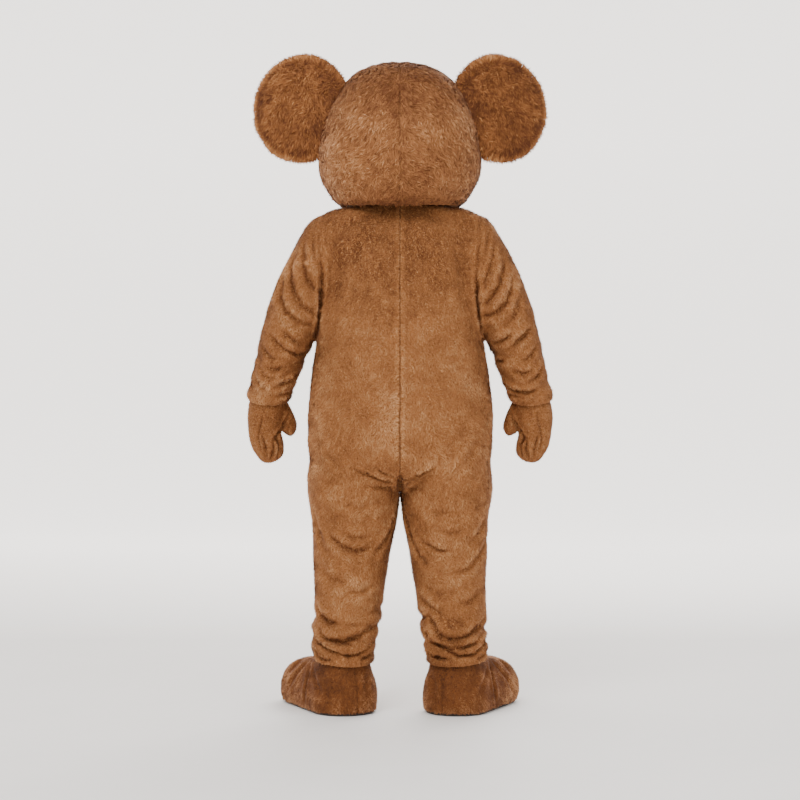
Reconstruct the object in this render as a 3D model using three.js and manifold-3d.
// A koala mascot costume as it stands when worn, hollow inside: a plush jumpsuit cut in two
// backs, two fronts and two sleeves, a pair of mitts, a pair of shoe covers with soles, and a
// padded head with round ears that lifts off. Millimetres, +Z up, +X is the costume's own left
// and -Y its front. Heights in the tables are above the floor; the finished group is lowered so
// that the origin lies where the wearer's shoulders carry the suit.
import * as THREE from "three";
import { mergeVertices } from "three/addons/utils/BufferGeometryUtils.js";
import Module from "manifold-3d";

// Driving dimensions
const SHOULDER_HEIGHT = 1430; // the origin, above the floor
const CLOTH = 3; // plush with its pile pressed flat
const HEAD_WALL = 8; // plush over moulded foam
const SEAM = 0.3; // gap between sewn pieces
const HEM_OVERRUN = 8; // how far an inner form runs out of an open end
const ARMHOLE_X = 230; // the armhole seam above the armpit
const ARMPIT = { x: 232, height: 1095, slant: 0.297 }; // slant: outward per mm down the side
const HEAD_SEAM_Y = -22; // the seam that joins the face to the two back panels
const HEAD_HALVING = 1600; // height at which each back panel's foam is divided
const EAR = { x: 285, y: -24, height: 1730, radius: 150, half: 34, turn: 25 };
const EYE = { x: 82, height: 1652, radius: 27, depth: 15 };
const NOSE = { height: 1588, halfWidth: 44, halfHeight: 62, depth: 40 };
const FOOT = { x: 162, y: 28, turn: 27 }; // the heel's centre and how far the toes turn out
const SOLE = { thick: 8, heel: 89, toe: 82, reach: 212 };
const HEM = { height: 149, rise: 0.124 }; // over the ankle's middle; rise per mm towards the toes
const SIDES = { torso: 20, leg: 14, arm: 12, head: 20, shoe: 14, mitt: 10, thumb: 6, ear: 16 };
const SLIVER = 0.05; // cut edges lose triangles that stand out by less than this

// Each row is one level cut through the form: half its width, and how far it reaches back (+Y)
// and forward (-Y) of its centre.
const TORSO = [
  { height: 640, width: 90, back: 62, front: 62 },
  { height: 654, width: 165, back: 112, front: 110 },
  { height: 680, width: 222, back: 148, front: 146 },
  { height: 722, width: 254, back: 173, front: 175 },
  { height: 790, width: 265, back: 182, front: 198 },
  { height: 870, width: 265, back: 177, front: 208 },
  { height: 970, width: 254, back: 165, front: 204 },
  { height: 1090, width: 236, back: 155, front: 182 },
  { height: 1220, width: 225, back: 147, front: 162 },
  { height: 1320, width: 222, back: 134, front: 146 },
  { height: 1385, width: 225, back: 113, front: 121 },
  { height: 1415, width: 223, back: 97, front: 103 },
  { height: 1429, width: 211, back: 90, front: 94 },
  { height: 1437, width: 183, back: 86, front: 90 },
  { height: 1442, width: 142, back: 84, front: 88 },
  { height: 1452, width: 116, back: 82, front: 86 },
  { height: 1474, width: 104, back: 81, front: 85 },
];
const LEG = [
  { height: 775, x: 134, y: 0, width: 108, back: 138, front: 146 },
  { height: 722, x: 134, y: 0, width: 122, back: 152, front: 152 },
  { height: 640, x: 136, y: 0, width: 126, back: 143, front: 138 },
  { height: 550, x: 132, y: 0, width: 121, back: 128, front: 124 },
  { height: 440, x: 140, y: 4, width: 110, back: 114, front: 110 },
  { height: 340, x: 145, y: 11, width: 100, back: 103, front: 101 },
  { height: 287, x: 149, y: 16, width: 96, back: 97, front: 96 },
  { height: 237, x: 155, y: 22, width: 94, back: 94, front: 94 },
  { height: 191, x: 160, y: 26, width: 91, back: 91, front: 91 },
  { height: 156, x: 162, y: 28, width: 89, back: 89, front: 89 },
  { height: 147, x: 162, y: 28, width: 83, back: 83, front: 83 },
  { height: 126, x: 162, y: 28, width: 83, back: 83, front: 83 },
];
const HEAD = [
  { height: 1442.2, width: 150, back: 140, front: 140 },
  { height: 1454, width: 175, back: 165, front: 166 },
  { height: 1482, width: 200, back: 188, front: 194 },
  { height: 1524, width: 223, back: 205, front: 213 },
  { height: 1576, width: 231, back: 213, front: 224 },
  { height: 1640, width: 224, back: 212, front: 222 },
  { height: 1705, width: 205, back: 197, front: 206 },
  { height: 1765, width: 177, back: 171, front: 177 },
  { height: 1808, width: 142, back: 138, front: 141 },
  { height: 1836, width: 97, back: 95, front: 95 },
  { height: 1849, width: 48, back: 47, front: 47 },
];
// The sleeve and mitt follow a bent centre line; across lies in the frontal plane.
const ARM = [
  { x: 171, y: 0, height: 1408, across: 43, deep: 43 },
  { x: 180, y: 0, height: 1391, across: 64, deep: 65 },
  { x: 192, y: 0, height: 1368, across: 77, deep: 78 },
  { x: 207, y: 0, height: 1337, across: 82, deep: 85 },
  { x: 242, y: 0, height: 1256, across: 90, deep: 89 },
  { x: 276, y: 0, height: 1187, across: 88, deep: 86 },
  { x: 306, y: -5, height: 1122, across: 81, deep: 81 },
  { x: 336, y: -17, height: 1040, across: 73, deep: 74 },
  { x: 362, y: -38, height: 955, across: 66, deep: 67 },
  { x: 378, y: -54, height: 910, across: 62, deep: 62 },
  { x: 384, y: -61, height: 887, across: 57, deep: 57 },
];
const MITT = [
  { x: 371, y: -47, height: 927, across: 46, deep: 46 },
  { x: 386, y: -63, height: 878, across: 53, deep: 51 },
  { x: 392, y: -70, height: 832, across: 54, deep: 44 },
  { x: 394, y: -72, height: 800, across: 49, deep: 40 },
  { x: 388, y: -74, height: 770, across: 49, deep: 36 },
  { x: 380, y: -76, height: 747, across: 46, deep: 33 },
  { x: 375, y: -78, height: 724, across: 37, deep: 26 },
  { x: 372, y: -79, height: 711, across: 19, deep: 14 },
];
const THUMB = [
  { x: 359, y: -69, height: 870, across: 18, deep: 18 },
  { x: 339, y: -77, height: 846, across: 25, deep: 24 },
  { x: 326, y: -84, height: 818, across: 25, deep: 24 },
  { x: 321, y: -88, height: 800, across: 20, deep: 19 },
  { x: 320, y: -90, height: 789, across: 9, deep: 9 },
];
// A level cut through a shoe cover: a heel circle, a toe circle and how far apart they are.
const SHOE = [
  { height: 8.3, heel: 90, toe: 83, reach: 212 },
  { height: 30, heel: 93, toe: 89, reach: 214 },
  { height: 64, heel: 92.5, toe: 89, reach: 211 },
  { height: 92, heel: 87, toe: 82, reach: 202 },
  { height: 112, heel: 80.5, toe: 76, reach: 188 },
  { height: 126, heel: 78.5, toe: 66, reach: 170 },
  { height: 136, heel: 77.8, toe: 62, reach: 138 },
  { height: 144, heel: 77.4, toe: 60, reach: 70 },
  { height: 151, heel: 77, toe: 77, reach: 0 },
  { height: 188, heel: 77, toe: 77, reach: 0 },
];
// Folds pushed in (depth) round a tube at a height, over a soft spread, tilting by tilt towards
// the angle facing, in turns from the costume's left (0) over its back (0.25).
const LEG_FOLDS = [
  { height: 262, depth: 6, spread: 11, tilt: 16, facing: 0.9 },
  { height: 212, depth: 8, spread: 9, tilt: 9, facing: 0.2 },
  { height: 171, depth: 7, spread: 8, tilt: 6, facing: 0.6 },
];
const SLEEVE_FOLDS = [
  { height: 1062, depth: 7, spread: 13, tilt: 26, facing: 0.05 },
  { height: 985, depth: 6, spread: 11, tilt: 20, facing: 0.1 },
  { height: 930, depth: 7, spread: 9, tilt: 11, facing: 0.55 },
];
const FOLD_RINGS = { leg: [262, 212, 171], sleeve: [1062, 980, 926] };

const plush = new THREE.MeshStandardMaterial({ color: 0x9a6a42, roughness: 0.95 });
const eyePlastic = new THREE.MeshStandardMaterial({ color: 0x17120f, roughness: 0.25 });
const noseCloth = new THREE.MeshStandardMaterial({ color: 0x241a15, roughness: 0.7 });
const rubber = new THREE.MeshStandardMaterial({ color: 0x1c1a19, roughness: 0.85 });

const wasm = await Module();
wasm.setup();
const { Manifold, Mesh } = wasm;

// A closed three.js geometry as a solid that can be joined and cut.
function solid(geometry) {
  const bare = new THREE.BufferGeometry();
  bare.setAttribute("position", geometry.getAttribute("position"));
  if (geometry.index) bare.setIndex(geometry.index);
  const merged = mergeVertices(bare, 1e-4);
  return new Manifold(
    new Mesh({
      numProp: 3,
      vertProperties: new Float32Array(merged.getAttribute("position").array),
      triVerts: new Uint32Array(merged.index.array),
    }),
  );
}

function geometryOf(made) {
  const { numProp, vertProperties, triVerts, numVert } = made.simplify(SLIVER).getMesh();
  const places = new Float32Array(numVert * 3);
  for (let i = 0; i < numVert; i++) {
    places.set(vertProperties.subarray(i * numProp, i * numProp + 3), i * 3);
  }
  const geometry = new THREE.BufferGeometry();
  geometry.setAttribute("position", new THREE.BufferAttribute(places, 3));
  geometry.setIndex(new THREE.BufferAttribute(triVerts, 1));
  return geometry;
}

const signedPower = (value, power) => Math.sign(value) * Math.abs(value) ** power;

// A smooth value between table rows, read at a given height (tables may run up or down).
function readRow(rows, height) {
  const up = rows[0].height < rows.at(-1).height;
  const list = up ? rows : [...rows].reverse();
  let i = list.findIndex((row) => row.height > height) - 1;
  if (i < 0) i = list.length - 2;
  const [a, b] = [list[i], list[i + 1]];
  const share = (height - a.height) / (b.height - a.height);
  const before = list[i - 1] ?? a;
  const after = list[i + 2] ?? b;
  const row = {};
  for (const key of Object.keys(a)) {
    const slopeA = (b[key] - before[key]) / (b.height - before.height);
    const slopeB = (after[key] - a[key]) / (after.height - a.height);
    const span = b.height - a.height;
    const [s2, s3] = [share ** 2, share ** 3];
    row[key] =
      (2 * s3 - 3 * s2 + 1) * a[key] +
      (s3 - 2 * s2 + share) * span * slopeA +
      (3 * s2 - 2 * s3) * b[key] +
      (s3 - s2) * span * slopeB;
  }
  return { ...row, height };
}

// The table with extra rows worked out at the given heights.
function withRows(rows, heights) {
  const down = rows[0].height > rows.at(-1).height;
  const all = [...rows, ...heights.map((height) => readRow(rows, height))];
  return all.sort((a, b) => (down ? b.height - a.height : a.height - b.height));
}

function foldDepth(folds, height, turn) {
  let pushed = 0;
  for (const fold of folds) {
    const at = fold.height + fold.tilt * Math.cos(2 * Math.PI * (turn - fold.facing));
    pushed += fold.depth * Math.exp(-(((height - at) / fold.spread) ** 2));
  }
  return pushed;
}

// One level ring with flattened sides, folds pushed in.
function levelRing(row, sides, power, folds = []) {
  const ring = [];
  for (let i = 0; i < sides; i++) {
    const turn = i / sides;
    const angle = 2 * Math.PI * turn;
    const depth = Math.sin(angle) > 0 ? row.back : row.front;
    const pushed = foldDepth(folds, row.height, turn);
    ring.push(
      new THREE.Vector3(
        (row.x ?? 0) + (row.width - pushed) * signedPower(Math.cos(angle), 2 / power),
        (row.y ?? 0) + (depth - pushed) * signedPower(Math.sin(angle), 2 / power),
        row.height,
      ),
    );
  }
  return ring;
}

// Rings square to a bent centre line.
function bentRings(rows, sides, folds = []) {
  const centres = rows.map((row) => new THREE.Vector3(row.x, row.y, row.height));
  return rows.map((row, i) => {
    const along = new THREE.Vector3()
      .subVectors(centres[Math.min(i + 1, rows.length - 1)], centres[Math.max(i - 1, 0)])
      .normalize();
    const out = new THREE.Vector3(-along.z, 0, along.x).normalize();
    const back = new THREE.Vector3().crossVectors(out, along).normalize();
    const ring = [];
    for (let j = 0; j < sides; j++) {
      const angle = (2 * Math.PI * j) / sides;
      const pushed = foldDepth(folds, row.height, j / sides);
      ring.push(
        centres[i]
          .clone()
          .addScaledVector(out, (row.across - pushed) * Math.cos(angle))
          .addScaledVector(back, (row.deep - pushed) * Math.sin(angle)),
      );
    }
    return ring;
  });
}

// The outline round a heel circle and a toe circle, level at row.height.
function shoeRing(row, sides) {
  const turn = THREE.MathUtils.degToRad(FOOT.turn);
  const toes = new THREE.Vector2(Math.sin(turn), -Math.cos(turn));
  const side = new THREE.Vector2(-toes.y, toes.x);
  const ring = [];
  for (let i = 0; i < sides; i++) {
    const angle = (2 * Math.PI * i) / sides;
    const front = Math.cos(angle) > 0;
    const radius = front ? row.toe : row.heel;
    const along = radius * Math.cos(angle) + (front ? row.reach : 0);
    const across = radius * Math.sin(angle);
    ring.push(
      new THREE.Vector3(
        FOOT.x + toes.x * along + side.x * across,
        FOOT.y + toes.y * along + side.y * across,
        row.height,
      ),
    );
  }
  return ring;
}

const middle = (ring) =>
  ring.reduce((sum, p) => sum.add(p), new THREE.Vector3()).divideScalar(ring.length);

// Every point of the rings moved inwards by a wall's thickness, square to the surface.
function inside(rings, wall) {
  const last = rings.length - 1;
  return rings.map((ring, i) =>
    ring.map((point, j) => {
      const round = new THREE.Vector3().subVectors(
        ring[(j + 1) % ring.length],
        ring[(j - 1 + ring.length) % ring.length],
      );
      const along = new THREE.Vector3().subVectors(
        rings[Math.min(i + 1, last)][j],
        rings[Math.max(i - 1, 0)][j],
      );
      const out = round.cross(along).normalize();
      const spoke = new THREE.Vector3().subVectors(point, middle(ring));
      if (out.dot(spoke) < 0) out.negate();
      return point.clone().addScaledVector(out, -wall);
    }),
  );
}

// An end ring carried straight on past itself, so that an inner form opens the outer one.
function overrun(ring, before) {
  const along = middle(ring).sub(middle(before)).normalize();
  return ring.map((p) => p.clone().addScaledVector(along, HEM_OVERRUN));
}

function openAtStart(rings) {
  return [overrun(rings[0], rings[1]), ...rings];
}

function openAtEnd(rings) {
  return [...rings, overrun(rings.at(-1), rings.at(-2))];
}

// A closed skin over rings of equal count, with a flat or domed cap at each end.
function skin(rings, domeStart = 0, domeEnd = 0) {
  const sides = rings[0].length;
  const places = rings.flat();
  const ends = [
    middle(rings[0]).addScaledVector(middle(rings[0]).sub(middle(rings[1])).normalize(), domeStart),
    middle(rings.at(-1)).addScaledVector(
      middle(rings.at(-1)).sub(middle(rings.at(-2))).normalize(),
      domeEnd,
    ),
  ];
  places.push(...ends);
  const corners = [];
  for (let i = 0; i < rings.length - 1; i++) {
    for (let j = 0; j < sides; j++) {
      const [a, b] = [i * sides + j, i * sides + ((j + 1) % sides)];
      corners.push(a, b, b + sides, a, b + sides, a + sides);
    }
  }
  const top = (rings.length - 1) * sides;
  for (let j = 0; j < sides; j++) {
    const next = (j + 1) % sides;
    corners.push(places.length - 2, next, j);
    corners.push(places.length - 1, top + j, top + next);
  }
  const geometry = new THREE.BufferGeometry().setFromPoints(places);
  geometry.setIndex(corners);
  const made = solid(geometry);
  if (made.volume() > 0) return made;
  for (let i = 0; i < corners.length; i += 3) {
    [corners[i + 1], corners[i + 2]] = [corners[i + 2], corners[i + 1]];
  }
  geometry.setIndex(corners);
  return solid(geometry);
}

const keep = (made, normal, offset) => made.trimByPlane(normal, offset);

// All of space on the arm's side of the armhole seam and of the gap below the armpit, moved
// inwards by grow.
function armSide(grow) {
  const slant = Math.hypot(1, ARMPIT.slant);
  const normal = [1 / slant, 0, ARMPIT.slant / slant];
  const offset = normal[0] * ARMPIT.x + normal[2] * ARMPIT.height - grow;
  const room = new THREE.BoxGeometry(1200, 1200, 3000);
  room.translate(600, 0, 900);
  return keep(keep(solid(room), [1, 0, 0], ARMHOLE_X - grow), normal, offset);
}

// What lies above the trouser leg's hem, which is higher over the instep than at the heel.
function aboveHem(made) {
  const turn = THREE.MathUtils.degToRad(FOOT.turn);
  const size = Math.hypot(1, HEM.rise);
  const normal = [(-HEM.rise * Math.sin(turn)) / size, (HEM.rise * Math.cos(turn)) / size, 1 / size];
  const offset = normal[0] * FOOT.x + normal[1] * FOOT.y + normal[2] * HEM.height;
  return keep(made, normal, offset);
}

function suitPieces() {
  const torso = TORSO.map((row) => levelRing(row, SIDES.torso, 2.25));
  const leg = withRows(LEG, FOLD_RINGS.leg).map((row) => levelRing(row, SIDES.leg, 2.1, LEG_FOLDS));
  const arm = bentRings(withRows(ARM, FOLD_RINGS.sleeve), SIDES.arm, SLEEVE_FOLDS);
  const outer = skin(torso).add(skin(leg)).add(skin(arm));
  const inner = skin(openAtEnd(inside(torso, CLOTH)))
    .add(skin(openAtEnd(inside(leg, CLOTH))))
    .add(skin(openAtEnd(inside(arm, CLOTH))));
  const wall = keep(aboveHem(outer.subtract(inner)), [1, 0, 0], SEAM / 2);
  const sleeve = wall.intersect(armSide(0));
  const body = wall.subtract(armSide(SEAM));
  return {
    suit_back: keep(body, [0, 1, 0], SEAM / 2),
    suit_front: keep(body, [0, -1, 0], SEAM / 2),
    sleeve,
  };
}

function headForm() {
  return HEAD.map((row) => levelRing(row, SIDES.head, 2.05));
}

function headPieces() {
  const rings = headForm();
  const wall = skin(rings, 0, 3).subtract(
    skin(openAtStart(inside(rings, HEAD_WALL)), 0, 1),
  );
  const back = keep(wall, [0, 1, 0], HEAD_SEAM_Y + SEAM / 2);
  const panel = keep(back, [1, 0, 0], SEAM / 2);
  return {
    head_back_upper: keep(panel, [0, 0, 1], HEAD_HALVING + SEAM / 2),
    head_back_lower: keep(panel, [0, 0, -1], SEAM / 2 - HEAD_HALVING),
    head_face: keep(wall, [0, -1, 0], -HEAD_SEAM_Y + SEAM / 2),
  };
}

// The head's outside, grown by the seam gap: what is sewn or set on the head is cut by it.
function headCutter() {
  return skin(inside(headForm(), -SEAM), 0, 3.5);
}

// A stuffed disc, cut back where it meets the head, in a front and a back half.
function earPieces() {
  const steps = 5;
  const profile = [];
  for (let i = 0; i <= 2 * steps; i++) {
    const angle = (Math.PI / 2) * (1 - i / steps);
    profile.push(
      new THREE.Vector2(
        EAR.radius * Math.cos(angle) ** 0.72,
        EAR.half * signedPower(Math.sin(angle), 1.25),
      ),
    );
  }
  profile[0].x = 0;
  profile.at(-1).x = 0;
  const disc = new THREE.LatheGeometry(profile.reverse(), SIDES.ear);
  const turn = THREE.MathUtils.degToRad(EAR.turn);
  disc.rotateZ(-turn);
  disc.translate(EAR.x, EAR.y, EAR.height);
  const normal = [Math.sin(turn), Math.cos(turn), 0];
  const offset = normal[0] * EAR.x + normal[1] * EAR.y;
  const placed = solid(disc).subtract(headCutter());
  return {
    back: keep(placed, normal, offset + SEAM / 2),
    front: keep(placed, normal.map((n) => -n), -offset + SEAM / 2),
  };
}

function ball(halfX, halfY, halfZ, x, y, height, around = 12, up = 8) {
  const geometry = new THREE.SphereGeometry(1, around, up);
  geometry.scale(halfX, halfY, halfZ);
  geometry.translate(x, y, height);
  return solid(geometry);
}

// How far forward the head's outside reaches at a place on the face.
function faceAt(x, height) {
  const row = readRow(HEAD, height);
  return -row.front * Math.sqrt(1 - (x / row.width) ** 2);
}

function facePieces() {
  const cutter = headCutter();
  const eyeY = faceAt(EYE.x, EYE.height);
  const noseY = faceAt(0, NOSE.height);
  return {
    eye: ball(EYE.radius, EYE.depth, EYE.radius, EYE.x, eyeY, EYE.height).subtract(cutter),
    nose: ball(NOSE.halfWidth, NOSE.depth, NOSE.halfHeight, 0, noseY, NOSE.height).subtract(cutter),
  };
}

function mittPieces() {
  const hand = bentRings(MITT, SIDES.mitt);
  const thumb = bentRings(THUMB, SIDES.thumb);
  const outer = skin(hand, 0, 4).add(skin(thumb, 0, 3));
  const inner = skin(openAtStart(inside(hand, CLOTH)), 0, 2).add(skin(inside(thumb, CLOTH), 0, 1));
  const wall = outer.subtract(inner);
  // The side seam runs down the hand between palm (towards the back) and back of hand.
  const [top, tip] = [MITT[0], MITT.at(-1)];
  const lean = (tip.y - top.y) / (tip.height - top.height);
  const size = Math.hypot(1, lean);
  const normal = [0, 1 / size, -lean / size];
  const offset = normal[1] * top.y + normal[2] * top.height;
  return {
    palm: keep(wall, normal, offset + SEAM / 2),
    back: keep(wall, normal.map((n) => -n), -offset + SEAM / 2),
  };
}

function shoePieces() {
  const rings = SHOE.map((row) => shoeRing(row, SIDES.shoe));
  const hollow = openAtStart(openAtEnd(inside(rings, CLOTH)));
  const wall = skin(rings).subtract(skin(hollow));
  const turn = THREE.MathUtils.degToRad(FOOT.turn);
  const normal = [Math.cos(turn), Math.sin(turn), 0];
  const offset = normal[0] * FOOT.x + normal[1] * FOOT.y;
  const soleRow = (height) => shoeRing({ ...SOLE, height }, SIDES.shoe);
  return {
    outer: keep(wall, normal, offset + SEAM / 2),
    inner: keep(wall, normal.map((n) => -n), -offset + SEAM / 2),
    sole: skin([soleRow(0), soleRow(SOLE.thick)]),
  };
}

const costume = new THREE.Group();
costume.position.z = -SHOULDER_HEIGHT;
const mirrored = new THREE.Group();
mirrored.scale.x = -1;
costume.add(mirrored);

function addPiece(name, made, material, group = costume) {
  const mesh = new THREE.Mesh(geometryOf(made), material);
  mesh.name = name;
  group.add(mesh);
}

// The same piece on the costume's left and, mirrored, on its right.
function addPair(nameOf, made, material) {
  addPiece(nameOf("left"), made, material);
  addPiece(nameOf("right"), made, material, mirrored);
}

const suit = suitPieces();
addPair((side) => `suit_back_${side}`, suit.suit_back, plush);
addPair((side) => `suit_front_${side}`, suit.suit_front, plush);
addPair((side) => `sleeve_${side}`, suit.sleeve, plush);

const head = headPieces();
addPair((side) => `head_back_${side}_upper`, head.head_back_upper, plush);
addPair((side) => `head_back_${side}_lower`, head.head_back_lower, plush);
addPiece("head_face", head.head_face, plush);

const ear = earPieces();
addPair((side) => `ear_${side}_back`, ear.back, plush);
addPair((side) => `ear_${side}_front`, ear.front, plush);

const face = facePieces();
addPair((side) => `eye_${side}`, face.eye, eyePlastic);
addPiece("nose", face.nose, noseCloth);

const mitt = mittPieces();
addPair((side) => `mitt_${side}_palm`, mitt.palm, plush);
addPair((side) => `mitt_${side}_back`, mitt.back, plush);

const shoe = shoePieces();
addPair((side) => `shoe_${side}_outer`, shoe.outer, plush);
addPair((side) => `shoe_${side}_inner`, shoe.inner, plush);
addPair((side) => `sole_${side}`, shoe.sole, rubber);

const part = new THREE.Group();
part.add(costume);
export default part;
